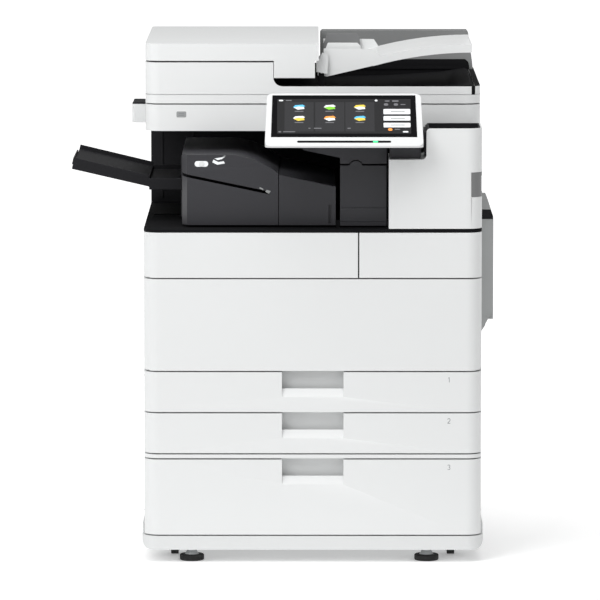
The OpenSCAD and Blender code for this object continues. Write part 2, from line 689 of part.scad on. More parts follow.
// A swivel fork: stem, plate and two cheeks that hold the axle.
module caster_fork(x, y) {
    color("silver") translate([x, y, 0]) {
        translate([0, 0, 2 * caster_r + 2]) cylinder(h = z_base - 2 * caster_r - 6, r = 4);
        for (s = [-1, 1]) difference() {
            translate([s > 0 ? 8 : -10, -6, caster_r - 6]) cube([2, 22, caster_r + 9]);
            translate([-12, 9, caster_r]) rotate([0, 90, 0]) cylinder(h = 24, r = 2.5 + pin_play);
        }
        translate([-10, -9, 2 * caster_r + 1]) cube([20, 26, 2]);
    }
}

module caster_wheel(x, y) {
    color("#202020") translate([x - 7, y + 9, caster_r]) rotate([0, 90, 0]) difference() {
        cylinder(h = 14, r = caster_r);
        translate([0, 0, -1]) cylinder(h = 3, r = caster_r - 5);
        translate([0, 0, 12]) cylinder(h = 3, r = caster_r - 5);
    }
    color("silver") translate([x - 11, y + 9, caster_r]) rotate([0, 90, 0]) cylinder(h = 22, r = 2.5);
}

// ---------- drawers ----------

module deep_drawer_front() { color("white") drawer_front(z_deep, z_deep + deep_h); }
module middle_drawer_front() { color("white") drawer_front(z_low, z_low + cassette_h); }
module upper_drawer_front() { color("white") drawer_front(z_top, z_top + cassette_h); }
module deep_drawer_tray() { color("gray") drawer_tray(z_deep, z_deep + deep_h, 98, false); }
module middle_drawer_tray() { color("gray") drawer_tray(z_low, z_low + cassette_h, 45); }
module upper_drawer_tray() { color("gray") drawer_tray(z_top, z_top + cassette_h, 45); }
module middle_drawer_lifter() { color("silver") lifter(z_low); }
module upper_drawer_lifter() { color("silver") lifter(z_top); }

// The deep drawer's paper rests on a plate that is wound straight up.
module deep_drawer_lifter() {
    color("silver") block([lifter_x - 90, return_d + 106, z_deep + 7.8], [frame_x - 26, return_d + 438, z_deep + 9.8]);
}

// ---------- doors and print unit ----------

module hinge_cuts(xs, z) {
    for (x = xs) block([x - 12, wall, z - hinge_h - 1], [x + 18, return_d + 1, z + 12]);
}

// What a cover hinged at height z may fill, so that it swings clear of its neighbours: h is its height.
module swing_room(z, h) {
    bar_x(-half_w - 1, half_w + 1, 10, z + hinge_h, h - hinge_h - slit);
}

module swing_foot(z) {
    intersection() {
        bar_x(-half_w - 1, half_w + 1, 10, z + hinge_h, hinge_h + gap - slit);
        block([-half_w - 2, -20, z - 5], [half_w + 2, 6, z + hinge_h + 2]);
    }
    bar_x(-half_w - 1, half_w + 1, 10, z + hinge_h, side_y - 10 - slit);
    block([-half_w - 1, -1, z + hinge_h], [half_w + 1, return_d + 1, z + 300]);
}

module front_door() {
    color("white") difference() {
        intersection() {
            front_tub(-half_w, half_w, z_door, z_door + door_h);
            swing_room(z_door, door_h + gap);
            swing_foot(z_door);
        }
        hinge_cuts([-220, 214], z_door + hinge_h);
    }
    color("white") hinge_posts([-220, 214], z_door + hinge_h);
}

module toner_cover() {
    color("white") difference() {
        intersection() {
            front_tub(-half_w, split_x - gap / 2, z_upper, z_upper + upper_h, right = false);
            swing_room(z_upper, upper_h + 1);
            swing_foot(z_upper);
        }
        hinge_cuts([-220, split_x - 60], z_upper + hinge_h);
    }
    color("white") hinge_posts([-220, split_x - 60], z_upper + hinge_h);
}

// Cheeks on the back of a cover's face, with the pin through them.
module hinge_posts(xs, z) {
    for (x = xs) {
        for (s = [x - 6, x + 9]) block([s, wall, z - 3], [s + 3, 13, z + 3]);
        bar_x(x - 3, x + 9, 10, z, pin_r);
    }
}

module toner_bottle() {
    p = toner_place();
    color("#3a3b3d") {
        bar_y(p[0], 66, 440, p[1], 38);
        bar_y(p[0], return_d + 10, 66, p[1], 34);
        block([p[0] - 22, return_d + 4, p[1] - 5], [p[0] + 22, return_d + 10, p[1] + 5]);
    }
}

// A roller along Y, carried on its thin journals.
module roller(p, r, y0, y1) {
    bar_y(p[0], y0, y1, p[1], r);
    bar_y(p[0], frame_y0 + 1, y0, p[1], 5);
    bar_y(p[0], y1, 468, p[1], 5);
}

module drum() {
    color("steelblue") roller(drum_place(), 18, 80, 440);
    color("dimgray") bar_y(drum_place()[0], return_d + 3, frame_y0 + 1, drum_place()[1], 14);
}

module fixing_roller() { color("darkred") roller(heat_place(), 14, 80, 440); }
module pressure_roller() { color("darkorange") roller(press_place(), 14, 80, 440); }

// Laser unit, power supply, main board and exhaust fan.
module rear_units() {
    color("dimgray") difference() {
        block([-150, 90, z_door + 30], [60, 440, z_door + 78]);
        block([-147, 93, z_door + 33], [57, 437, z_door + 75]);
    }
    color("dimgray") block([-150, 90, z_door - 5.7], [-140, 440, z_door + 30]);
    color("dimgray") block([50, 90, z_door - 5.7], [60, 440, z_door + 30]);
    color("green") block([-240, frame_y1 - 12, z_door + 10], [-60, frame_y1 - sheet, z_upper + 40]);
    color("silver") difference() {
        block([80, frame_y1 - 70, z_door + 4], [250, frame_y1 - sheet, z_door + 44]);
        block([82, frame_y1 - 68, z_door + 6], [248, frame_y1 - sheet - 2, z_door + 42]);
    }
    color("#202020") difference() {
        translate([150, frame_y1, z_door + 100]) rotate([-90, 0, 0]) linear_extrude(26) square(80, center = true);
        bar_y(150, frame_y1 - 1, frame_y1 + 27, z_door + 100, 37);
    }
    color("#202020") {
        bar_y(150, frame_y1 + 1, frame_y1 + 24, z_door + 100, 13);
        for (a = [45, 135]) translate([150, frame_y1 + 20, z_door + 100]) rotate([0, a, 0])
            translate([-38, 0, -2]) cube([76, 3, 4]);
    }
}

// ---------- right side ----------

hand_z = z_cavity - 175;             // pivot of the hand-feed tray
hand_top = z_cavity + 4;
door_pin = [half_w - 8, z_door + 7];

module right_door() {
    x0 = half_w - wall;
    color("white") difference() {
        union() {
            block([x0, tower_d + 2, z_door + 3], [half_w, 560, z_cavity + 45]);
            // stiffening frame inside the door
            for (y = [tower_d + 2, 557]) block([half_w - 14, y, z_door + 14], [half_w, y + 3, z_cavity - 6]);
        }
        block([x0 - 1, hand_y0 + 30, hand_z + 60], [half_w + 1, hand_y1 - 30, hand_z + 76]);
    }
    // knuckles on the door's pin
    color("white") for (y = [160, 520]) difference() {
        block([half_w - 12, y, z_door + 3], [half_w - 1, y + 16, z_door + 11]);
        bar_y(door_pin[0], y - 1, y + 17, door_pin[1], pin_r + pin_play);
    }
    // shelf of the hand-feed unit
    color("lightgray") carried_y(hand_y0 - 6, hand_y0) hand_cheek();
    color("lightgray") carried_y(hand_y1, hand_y1 + 6) hand_cheek();
    color("lightgray") carried_y(hand_y0 - 6.6, hand_y1 + 6.6)
        polygon([[half_w, hand_top + 2], [half_w + 24.5, hand_top + 2], [half_w + 24.5, hand_top + 7], [half_w + 19.5, hand_top + 20], [half_w, hand_top + 20]]);
    color("lightgray") carried_y(hand_y0, hand_y1)
        polygon([[half_w, hand_z - 34], [half_w + 11, hand_z - 17], [half_w, hand_z - 17]]);
}

module hand_cheek() {
    difference() {
        polygon([[half_w, hand_z - 34], [half_w + 24, hand_z + 10], [half_w + 24, hand_top + 4], [half_w, hand_top + 4]]);
        translate([half_w + 12, hand_z]) circle(pin_r + pin_play);
    }
}

// Fixed pins of the right door, on the right cover's lower edge.
module right_door_pins() {
    color("silver") for (y = [150, 510]) {
        bar_y(door_pin[0], y, y + 36, door_pin[1], pin_r);
        for (e = [y, y + 31]) block([frame_x + sheet, e, z_door + 4], [half_w - 5.5, e + 5, z_door + 10]);
    }
}

module hand_tray() {
    x0 = half_w + 8;
    color("gray") difference() {
        union() {
            block([x0, hand_y0 + slit, hand_z - 6], [half_w + 25, hand_y1 - slit, hand_top]);
        }
        // recess for the flap, paper face and finger grip
        block([half_w + 21, hand_y0 + 40 - slit, hand_z + 40 - slit], [half_w + 26, hand_y1 - 40 + slit, hand_top + 1]);
        block([x0 - 1, hand_y0 + 8, hand_z + 12], [x0 + 3, hand_y1 - 8, hand_top - 6]);
        block([half_w + 16, hand_y0 + 60, hand_top - 6], [half_w + 26, hand_y1 - 60, hand_top + 1]);
        for (y = [hand_y0 + 36, hand_y1 - 40 + slit]) bar_y(half_w + 22.8, y, y + 4 - slit, hand_top - 12.2, 1.5 + pin_play);
    }
    color("silver") for (y = [hand_y0 - 5, hand_y1 - 5]) bar_y(half_w + 12, y, y + 10, hand_z, pin_r);
}

module hand_tray_flap() {
    color("lightgray") {
        block([half_w + 21.6, hand_y0 + 40, hand_z + 40], [half_w + 24, hand_y1 - 40, hand_top - 12.2]);
        bar_y(half_w + 22.8, hand_y0 + 36.5, hand_y1 - 36.5, hand_top - 12.2, 1.5);
    }
}

// Grip that unlatches the right door, round the tower's corner.
module release_lever() {
    z0 = z_cavity + 60;
    color("gray") difference() {
        intersection() {
            translate([0, 0, z0 + slit]) linear_extrude(45 - 2 * slit) front_plan(tower_x, half_w, tower_d, corner_r, false, true);
            block([half_w - 20 + slit, -1, z0], [half_w + 1, 62 - slit, z0 + 50]);
        }
        block([half_w - 4, 20, z0 + 8], [half_w + 1, 54, z0 + 38]);
    }
}

// ---------- finisher ----------

// Upper edge of the stapler housing: level, then falling to the right in a parabola.
function cap_z(x) = z_cavity + 134 - (x > stack_x + 84 ? 0.0039 * pow(x - stack_x - 84, 2) : 0);

function jam_pin() = [finisher_y + 5, z_cavity + 9];

module finisher_body() {
    y1 = wall_y - 100;
    top = [for (i = [0 : 12]) [seam_x - i * staple_w / 12, cap_z(seam_x - i * staple_w / 12)]];
    // housing with the slanted hand-staple slot
    color("#36373a") difference() {
        carried_y(finisher_y, y1)
            polygon(concat([[stack_x, z_cavity + 4], [seam_x, z_cavity + 4]], top));
        carried_y(finisher_y - 1, finisher_y + 60)
            polygon([[stack_x - 1, z_cavity + 94.4], [seam_x - 16, z_cavity + 60.6], [seam_x - 16, z_cavity + 66], [stack_x - 1, z_cavity + 99.7]]);
        // slanted left edge
        translate([0, 0, z_cavity]) linear_extrude(140) polygon([[stack_x - 1, finisher_y - 1], [stack_x + 10, finisher_y - 1], [stack_x - 1, finisher_y + 24]]);
        block([stack_x - 1, finisher_y + 60, z_cavity + 84], [stack_x + 130, y1 - 40, z_cavity + 112]);
        block([stack_x + 4, finisher_y + 64, z_cavity + 8], [seam_x - 4, y1 - 4, z_cavity + 48]);
        translate([stack_x + 36, finisher_y - 1, z_cavity + 117]) rotate([-90, 0, 0]) cylinder(h = 8, r = 5.4);
    }
    // right end of the finisher, under the paper exit
    color("#36373a") difference() {
        carried_y(finisher_y + 1, y1)
            polygon([[seam_x + 1, z_cavity + 4], [jam_x - 8, z_cavity + 4], [jam_x - 8, z_cavity + 75], [seam_x + 1, z_cavity + 97]]);
        block([seam_x + 5, finisher_y + 8, z_cavity + 8], [jam_x - 16, y1 - 4, z_cavity + 60]);
        block([jam_x - 21, finisher_y, z_cavity + 7], [jam_x - 16, finisher_y + 5, z_cavity + 41]);
    }
    color("#36373a") block([seam_x - 2 + 2, finisher_y + 20, z_cavity + 10], [seam_x + 1, y1 - 20, z_cavity + 80]);
    // guide on which the finisher slides
    color("silver") block([stack_x + 20, 200, z_cavity + slit], [jam_x - 30, 230, z_cavity + 4]);
    color("#36373a") block([stack_x - 4, stack_y + 20, z_cavity + 8], [stack_x, stack_y + 60, z_cavity + 120]);
    color("#36373a") block([stack_x - 4, stack_y + 230, z_cavity + 8], [stack_x, stack_y + 270, z_cavity + 120]);
}

module staple_button() {
    color("white") translate([stack_x + 36, finisher_y - 1.5, z_cavity + 117]) rotate([-90, 0, 0]) cylinder(h = 6, r = 5.2);
}

// Paper exit over the jam door, with a wing to the left.
module exit_housing() {
    z0 = z_cavity + 117;
    color("#36373a") {
        difference() {
            block([jam_x, finisher_y + 2, z0], [tower_x - 3.5, 420, z_cavity + 154]);
            block([jam_x + 4, finisher_y + 6, z0 + 3], [tower_x - 8, 416, z_cavity + 150]);
            bar_y(jam_x + 29, finisher_y, finisher_y + 8, z0 - 7.5, 14.5);
        }
        carried_y(finisher_y + 2, 420)
            polygon([[jam_x - 81, z_cavity + 154], [jam_x - 66, z_cavity + 142], [jam_x, z_cavity + 128], [jam_x, z_cavity + 154]]);
        block([tower_x - 3.5, tower_d + 4, z0 + 4], [tower_x - 3, 416, z_cavity + 150]);
    }
}

module jam_door() {
    z0 = z_cavity + 3;
    color("#36373a") difference() {
        block([jam_x, finisher_y, z0], [tower_x - 4, finisher_y + 14, z0 + 111]);
        block([jam_x + 3, finisher_y + 3, z0 + 12], [tower_x - 7, finisher_y + 15, z0 + 108]);
        for (z = [z_cavity + 9.5, z_cavity + 35.5]) block([jam_x - 1, finisher_y - 1, z], [tower_x - 3, finisher_y + 0.9, z + 1.3]);
    }
    color("#36373a") bar_y(jam_x + 29, finisher_y, finisher_y + 3, z0 + 106.5, 13);
    color("silver") bar_x(jam_x - 6.5, tower_x - 0.8, jam_pin()[0], jam_pin()[1], pin_r);
}

// Side outline of the stack tray: level beside the finisher, then rising to the left.
module stack_outline(t, end = 8) {
    c = cos(stack_rise);
    s = sin(stack_rise);
    z = stack_z + stack_step;
    polygon([[stack_x - end, stack_z], [stack_x - end, stack_z + t], [stack_bend, stack_z + t], [stack_bend, z + t],
             [stack_bend - stack_len * c + t * s, z + t + stack_len * s],
             [stack_bend - stack_len * c, z + stack_len * s], [stack_bend, z], [stack_bend, stack_z]]);
}

module stack_tray() {
    color("#2a2b2d") carried_y(stack_y, stack_y + 4) stack_outline(21, 0.4);
    color("#2a2b2d") carried_y(stack_y + stack_d - 4, stack_y + stack_d) stack_outline(21, 0.4);
    color("#2a2b2d") difference() {
        carried_y(stack_y + 4, stack_y + stack_d - 4) stack_outline(13);
        // pocket for the extension, in the rising part
        on_stack() block([-stack_len - 5, 60 - slit, 3 - slit], [-20, stack_d - 60 + slit, 9 + slit]);
    }
    // hooks that run on the finisher's rails
    color("#2a2b2d") for (y = [stack_y + 24, stack_y + 234]) block([stack_x - 8, y, stack_z], [stack_x - 4 - slit, y + 30, stack_z + 13]);
}

// Frame of the rising part: x along it to the right, y back, z off its underside.
module on_stack() {
    translate([stack_bend, stack_y, stack_z + stack_step]) rotate([0, stack_rise, 0]) children();
}

module stack_extension() {
    color("#2a2b2d") on_stack() {
        block([-stack_len - 1, 60, 3], [-30, stack_d - 60, 9]);
        block([-stack_len - 3, 60, 3], [-stack_len - slit, stack_d - 60, 16]);
    }
}

// ---------- document feeder ----------

module feeder_body() {
    color("white") {
        // base with a groove along its middle
        difference() {
            round_box(-half_w, half_w, reader_y, feeder_y1, z_feeder, z_rim, corner_r, 10);
            round_box(-half_w + housing_w + 4, half_w - 10, reader_y + wall, feeder_y1 - 50, z_feeder + 12, z_rim + 1, corner_r - 9, 8);
            difference() {
                round_box(-half_w - 1, half_w + 1, reader_y - 1, feeder_y1 + 1, z_feeder + 15.8, z_feeder + 17, corner_r, 10);
                round_box(-half_w + 1, half_w - 1, reader_y + 1, feeder_y1 - 1, z_feeder + 15, z_feeder + 18, corner_r - 1, 9);
            }
        }
        // left housing, open to the right
        difference() {
            round_box(-half_w, -half_w + housing_w + 40, reader_y, feeder_y1, z_rim, z_housing, corner_r, 10);
            block([-half_w + housing_w, reader_y - 1, z_rim - 1], [-half_w + housing_w + 41, feeder_y1 + 1, z_housing + 1]);
            round_box(-half_w + wall, -half_w + housing_w + 41, reader_y + wall, feeder_y1 - wall, z_rim + wall, z_housing - 4, corner_r - wall, 8);
        }
        // fillet from the housing down to the rim
        carried_y(reader_y, reader_y + wall) difference() {
            translate([-half_w + housing_w, z_rim]) square(17);
            translate([-half_w + housing_w + 17, z_rim + 17]) circle(17);
        }
        // rear wall behind the trays
        difference() {
            carried_y(feeder_y1 - 48, feeder_y1)
                polygon([[tray_x0, z_rim], [half_w - 2, z_rim], [half_w - 3, z_rim + 12], [half_w - 11, z_lid - 9],
                         [half_w - 14, z_lid - 5], [tray_x0 + 4, z_lid - 5], [tray_x0, z_lid - 9]]);
            block([tray_x0 + 4, feeder_y1 - 44, z_rim - 1], [half_w - 18, feeder_y1 - 4, z_lid - 12]);
        }
        // ears of the feed cover's hinge
        for (y = cover_ears()) difference() {
            block([-half_w + 1, y, z_housing], [-half_w + 9, y + 8, z_housing + 9]);
            bar_y(-half_w + 4.5, y - 1, y + 9, z_housing + 5.3, pin_r);
        }
    }
    color("silver") bar_y(-half_w + 4.5, cover_ears()[0], cover_ears()[1] + 8, z_housing + 5.3, pin_r);
    // pressure pad over the platen, and hinge leaves at the rear
    color("whitesmoke") block([glass_box()[0] + 2, glass_box()[1] + 2, z_glass + slit], [glass_box()[2] - 2, glass_box()[3] - 2, z_feeder]);
    color("silver") for (x = [-240, 205]) {
        block([x, feeder_y1, z_feeder + 1], [x + 30, hinge_y + 5, z_feeder + 10]);
        bar_x(x < 0 ? x + 30 : x - 34, x < 0 ? x + 64 : x, hinge_y, z_glass + 8, 4);
    }
    // arms that carry the input tray's pin, the front one under a bracket level with the tray's skirt
    color("#1d1e20") for (y = [tray_y0 - 6, tray_y1 + slit]) difference() {
        block([tray_root - 9, y, z_feeder + 13], [tray_root + 1, y + 6 - slit, z_housing - 12]);
        bar_y(tray_pin()[0], y - 1, y + 7, tray_pin()[1], 3 + pin_play);
    }
    color("white") carried_y(tray_y0 - 9, tray_y0 - 5.5)
        polygon([[6.6, z_housing - 19], [6.6, z_housing + 1], [14, z_housing + 6.5], [17, z_housing + 16], [26, z_housing + 16],
                 [29, z_housing + 4], [27, z_housing - 22.5]]);
    // dark output tray, with its rear lip
    color("#1d1e20") {
        intersection() {
            carried_y(reader_y + 6, feeder_y1 - 52)
                polygon([[-half_w + housing_w + 6, z_feeder + 12], [half_w - 11, z_feeder + 12], [half_w - 11, z_rim - 1],
                         [half_w - 18, z_rim + 3], [half_w - 60, z_rim - 4], [half_w - 170, z_feeder + 20], [-half_w + housing_w + 6, z_feeder + 16]]);
            round_box(-half_w + housing_w + 5, half_w - 10.3, reader_y + 5, feeder_y1 - 51, z_feeder + 11, z_rim + 10, corner_r - 9, 4);
        }
        carried_y(feeder_y1 - 52, feeder_y1 - 48)
            polygon([[-half_w + housing_w + 6, z_rim], [half_w - 9, z_rim], [half_w - 9, z_rim + 6], [half_w - 11, z_rim + 14],
                     [half_w - 17, z_rim + 19], [tray_x0, z_rim + 19], [tray_x0, z_rim + 12], [-half_w + housing_w + 6, z_rim + 12]]);
    }
}

// Ends of the input tray, and the y and z of its lift pin.
tray_y0 = reader_y + 30;
tray_y1 = reader_y + 310;
function tray_pin() = [tray_root - 4, z_housing - 19];

function cover_ears() = [reader_y + 40, feeder_y1 - 60];

module feed_cover() {
    x1 = -half_w + cover_w;
    block_x0 = -half_w + housing_w + 1;
    color("white") difference() {
        union() {
            difference() {
                round_box(-half_w, x1 + 40, reader_y, feeder_y1, z_cover, z_lid, corner_r, 10);
                block([x1, reader_y - 1, z_cover - 1], [x1 + 41, feeder_y1 + 1, z_lid + 1]);
                round_box(-half_w + wall, x1 + 50, reader_y + wall, feeder_y1 - wall, z_cover - 1, z_lid - wall, corner_r - wall, 8);
            }
            block([x1 - wall, reader_y + 1, z_cover + 14], [x1, feeder_y1 - 1, z_lid]);
            block([block_x0, reader_y, z_housing - 28.8], [x1 - 7, feeder_y1 - 3, z_cover + wall]);
            bar_y(-half_w + 4.5, reader_y + 60, feeder_y1 - 80, z_housing + 5.3, 4);
        }
        block([block_x0 + wall, reader_y + wall, z_housing - 30], [x1 - 10, feeder_y1 - 6, z_cover + 10]);
        bar_y(-half_w + 4.5, reader_y + 36, feeder_y1 - 48, z_housing + 5.3, pin_r + pin_play);
        for (y = cover_ears()) block([-half_w - 1, y - 2, z_cover - 1], [-half_w + 14, y + 10, z_cover + 9]);
    }
    // pick-up roller and its arms
    color("dimgray") bar_y(block_x0 + 34, reader_y + wall, feeder_y1 - 6, z_housing - 8, 4);
    color("#202020") bar_y(block_x0 + 34, reader_y + 140, reader_y + 180, z_housing - 8, 14);
}

// Paper face of the input tray: a parabola that levels out at its right end.
tray_end = half_w - 15;
tray_root = tray_x0 + 6;
tray_n = 12;
tray_xs = [for (i = [0 : tray_n]) tray_root + i * (tray_end - tray_root) / tray_n];
function face_z(x) = z_lid - 3.4 - 0.000747 * pow(tray_end - x, 2);

module input_tray() {
    y0 = tray_y0;
    y1 = tray_y1;
    n = tray_n;
    xs = tray_xs;
    color("white") bar_y(tray_pin()[0], y0 - 5, y1 + 5, tray_pin()[1], 3);
    color("white") {
        carried_y(y0, y1)
            polygon(concat([for (x = xs) [x, face_z(x)]], [for (i = [n : -1 : 0]) [xs[i], face_z(xs[i]) - 3]]));
        for (y = [y0, y1 - 3]) carried_y(y, y + 3) {
            polygon(concat([for (i = [4 : n]) [xs[i], face_z(xs[i])]], [for (i = [n : -1 : 4]) [xs[i], face_z(xs[i]) - 15]]));
            polygon([[tray_root - 11, z_housing - 26], [tray_root - 11, z_housing - 12], [tray_root, z_housing - 2],
                     [tray_root, z_lid - 11], [tray_root + 96, z_lid - 12], [tray_root + 113, z_housing - 3], [tray_root + 7, z_housing - 28]]);
        }
        carried_y(y0, y1) polygon([[tray_end - 3, face_z(tray_end) - 15], [tray_end, face_z(tray_end) - 15], [tray_end, face_z(tray_end)], [tray_end - 3, face_z(tray_end)]]);
        block([tray_root + 7, y0, z_housing - 27], [tray_root + 10, y1, face_z(tray_root + 8) - 2]);
    }
}

// A side guide: an upright plate and a foot that slides across the paper face; s is +1 for the front one.
module side_guide(y, s) {
    foot = [for (i = [0 : 3]) [tray_xs[i], face_z(tray_xs[i]) + slit]];
    color("white") carried_y(min(y, y + s * 2.5), max(y, y + s * 2.5))
        polygon(concat(foot, [[tray_xs[3] + 3, face_z(tray_xs[3]) + 2], [tray_xs[3], z_lid - 7], [tray_xs[3] - 6, z_lid - 1],
                              [tray_xs[0] + 8, z_lid - 1], [tray_xs[0], z_lid - 20]]));
    color("white") carried_y(min(y, y + s * 24), max(y, y + s * 24))
        polygon(concat(foot, [for (i = [3 : -1 : 0]) foot[i] + [0, 2]]));
}

module front_guide() { side_guide(tray_y0 + 10, 1); }
module rear_guide() { side_guide(tray_y1 - 10, -1); }

// ---------- assembly ----------

// Moves the working frame to the part's frame.
module place() {
    translate([-(box_x0 + box_x1) / 2, -(box_y0 + box_y1) / 2, 0]) children();
}

place() {
    plinth();
    joint_strip();
    frame();
    left_cover();
    union() { right_cover(); right_door_pins(); }
    rear_cover();
    inner_cover();
    fixed_front_cover();
    deck();
    cavity_wall();
    tower_cover();
    tower_tray();
    reader_body();
    platen_glass();
    scan_rails();
    scan_carriage();
    levelling_feet();
    caster_mounts();
    caster_fork(-caster_x, caster_y[0]);  // caster_fork_fl
    caster_fork(caster_x, caster_y[0]);  // caster_fork_fr
    caster_fork(-caster_x, caster_y[1]);  // caster_fork_rl
    caster_fork(caster_x, caster_y[1]);  // caster_fork_rr
    caster_wheel(-caster_x, caster_y[0]);  // caster_wheel_fl
    caster_wheel(caster_x, caster_y[0]);  // caster_wheel_fr
    caster_wheel(-caster_x, caster_y[1]);  // caster_wheel_rl
    caster_wheel(caster_x, caster_y[1]);  // caster_wheel_rr
    deep_drawer_front();
    deep_drawer_tray();
    deep_drawer_lifter();
    middle_drawer_front();
    middle_drawer_tray();
    middle_drawer_lifter();
    upper_drawer_front();
    upper_drawer_tray();
    upper_drawer_lifter();
    front_door();
    toner_cover();
    toner_bottle();
    drum();
    fixing_roller();
    pressure_roller();
    rear_units();
    right_door();
    hand_tray();
    hand_tray_flap();
    release_lever();
    finisher_body();
    exit_housing();
    jam_door();
    staple_button();
    stack_tray();
    stack_extension();
    panel_arm();
    panel_housing();
    touch_glass();
    feeder_body();
    feed_cover();
    input_tray();
    front_guide();
    rear_guide();
}
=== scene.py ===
import math

import bmesh
import bpy
import numpy as np
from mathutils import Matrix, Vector


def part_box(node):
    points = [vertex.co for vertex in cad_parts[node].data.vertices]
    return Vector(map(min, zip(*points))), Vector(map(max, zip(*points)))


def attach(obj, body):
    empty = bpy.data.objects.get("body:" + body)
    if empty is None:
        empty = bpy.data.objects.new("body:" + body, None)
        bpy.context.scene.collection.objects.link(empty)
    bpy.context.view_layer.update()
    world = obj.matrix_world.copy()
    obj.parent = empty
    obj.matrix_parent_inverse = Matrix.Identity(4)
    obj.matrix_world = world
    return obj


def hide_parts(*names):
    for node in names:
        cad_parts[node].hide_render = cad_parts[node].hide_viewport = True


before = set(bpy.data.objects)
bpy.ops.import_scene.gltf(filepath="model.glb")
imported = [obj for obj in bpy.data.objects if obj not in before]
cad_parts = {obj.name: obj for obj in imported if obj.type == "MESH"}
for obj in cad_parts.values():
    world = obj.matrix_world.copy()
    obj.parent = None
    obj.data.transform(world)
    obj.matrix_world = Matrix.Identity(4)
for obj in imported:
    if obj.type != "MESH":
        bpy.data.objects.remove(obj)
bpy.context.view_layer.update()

# ---------------------------------------------------------------- where things are
# The working frame has x = 0 on the middle of the body, y = 0 on the drawer faces and z = 0 on the
# floor, in millimetres. at() turns a point of it into the row frame.
door_low, door_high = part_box("front_door")
centre_x = (door_low.x + door_high.x) / 2
front_y = door_low.y
half_w = 1000 * (door_high.x - door_low.x) / 2


def at(x, y, z):
    return Vector((centre_x + x / 1000, front_y + y / 1000, z / 1000))


def local(v):
    """A row-frame point in millimetres of the working frame."""
    return np.array([(v.x - centre_x) * 1000, (v.y - front_y) * 1000, v.z * 1000])


def low(node):
    return local(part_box(node)[0])


def high(node):
    return local(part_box(node)[1])


# ---------------------------------------------------------------- materials
# Every finish is procedural, on object coordinates. The group gives a fine grain, a broad tone and
# the grain's normal.
def surface_group():
    """noise(grain) -> Fine and Normal, noise(4 / m) -> Broad."""
    g = bpy.data.node_groups.new("surface", "ShaderNodeTree")
    for name, kind, way in (("Grain", "NodeSocketFloat", "INPUT"), ("Relief", "NodeSocketFloat", "INPUT"),
                            ("Fine", "NodeSocketFloat", "OUTPUT"), ("Broad", "NodeSocketFloat", "OUTPUT"),
                            ("Normal", "NodeSocketVector", "OUTPUT")):
        g.interface.new_socket(name=name, in_out=way, socket_type=kind)
    n, l = g.nodes, g.links
    come, go = n.new("NodeGroupInput"), n.new("NodeGroupOutput")
    co = n.new("ShaderNodeTexCoord")
    fine, broad, bump = n.new("ShaderNodeTexNoise"), n.new("ShaderNodeTexNoise"), n.new("ShaderNodeBump")
    fine.inputs["Detail"].default_value = 3
    broad.inputs["Scale"].default_value = 4
    broad.inputs["Detail"].default_value = 4
    bump.inputs["Distance"].default_value = 0.0003
    l.new(co.outputs["Object"], fine.inputs["Vector"])
    l.new(co.outputs["Object"], broad.inputs["Vector"])
    l.new(come.outputs["Grain"], fine.inputs["Scale"])
    l.new(fine.outputs["Fac"], bump.inputs["Height"])
    l.new(come.outputs["Relief"], bump.inputs["Strength"])
    l.new(fine.outputs["Fac"], go.inputs["Fine"])
    l.new(broad.outputs["Fac"], go.inputs["Broad"])
    l.new(bump.outputs["Normal"], go.inputs["Normal"])
    return g


surface = surface_group()


def finish_of(name, colour, rough, grain=900, relief=0.25, tone=0.05, spread=0.08, **sockets):
    """Principled finish: colour * (1 - tone * (1 - Broad)), roughness = rough +- spread by Fine."""
    m = bpy.data.materials.new(name)
    m.use_nodes = True
    n, l = m.node_tree.nodes, m.node_tree.links
    b = n["Principled BSDF"]
    g = n.new("ShaderNodeGroup")
    g.node_tree = surface
    g.inputs["Grain"].default_value = grain
    g.inputs["Relief"].default_value = relief
    mix, rg = n.new("ShaderNodeMix"), n.new("ShaderNodeMapRange")
    mix.data_type = "RGBA"
    mix.inputs["A"].default_value = (*[c * (1 - tone) for c in colour], 1)
    mix.inputs["B"].default_value = (*colour, 1)
    rg.inputs["To Min"].default_value = max(rough - spread, 0.02)
    rg.inputs["To Max"].default_value = min(rough + spread, 1)
    l.new(g.outputs["Broad"], mix.inputs["Factor"])
    l.new(mix.outputs["Result"], b.inputs["Base Color"])
    l.new(g.outputs["Fine"], rg.inputs["Value"])
    l.new(rg.outputs["Result"], b.inputs["Roughness"])
    l.new(g.outputs["Normal"], b.inputs["Normal"])
    for key, value in sockets.items():
        b.inputs[key.replace("_", " ")].default_value = value
    return m


def glow(name, colour, strength):
    """A finish that also gives off its own colour."""
    return finish_of(name, colour, 0.3, relief=0.0, tone=0.02, Specular_IOR_Level=0.1,
                     Emission_Color=(*colour, 1), Emission_Strength=strength)


white = finish_of("white_cover", (0.715, 0.725, 0.725), 0.40, grain=1400, relief=0.22, tone=0.03)
base_white = finish_of("plinth_white", (0.66, 0.67, 0.67), 0.46, grain=1300, relief=0.25, tone=0.04)
dark = finish_of("dark_plastic", (0.008, 0.008, 0.010), 0.7, grain=1200, relief=0.35, tone=0.2,
                 Specular_IOR_Level=0.25)
satin = finish_of("dark_satin", (0.026, 0.026, 0.031), 0.48, grain=1500, relief=0.2, tone=0.12)
black = finish_of("black_inside", (0.004, 0.004, 0.005), 0.8, grain=1000, relief=0.3, tone=0.2,
                  Specular_IOR_Level=0.15)
# White cover plastic painted darker as painted shade, for the right door's outer side and the hand-feed tray.
painted_shade_white = finish_of("white_in_painted_shade", (0.40, 0.41, 0.41), 0.46, grain=1300, relief=0.3, tone=0.06)
# The feeder's white rear wall, painted darker as painted shade.
rear_wall_shade_paint = finish_of("feeder_wall_in_painted_shade", (0.22, 0.225, 0.225), 0.5, grain=1300, relief=0.25, tone=0.05)
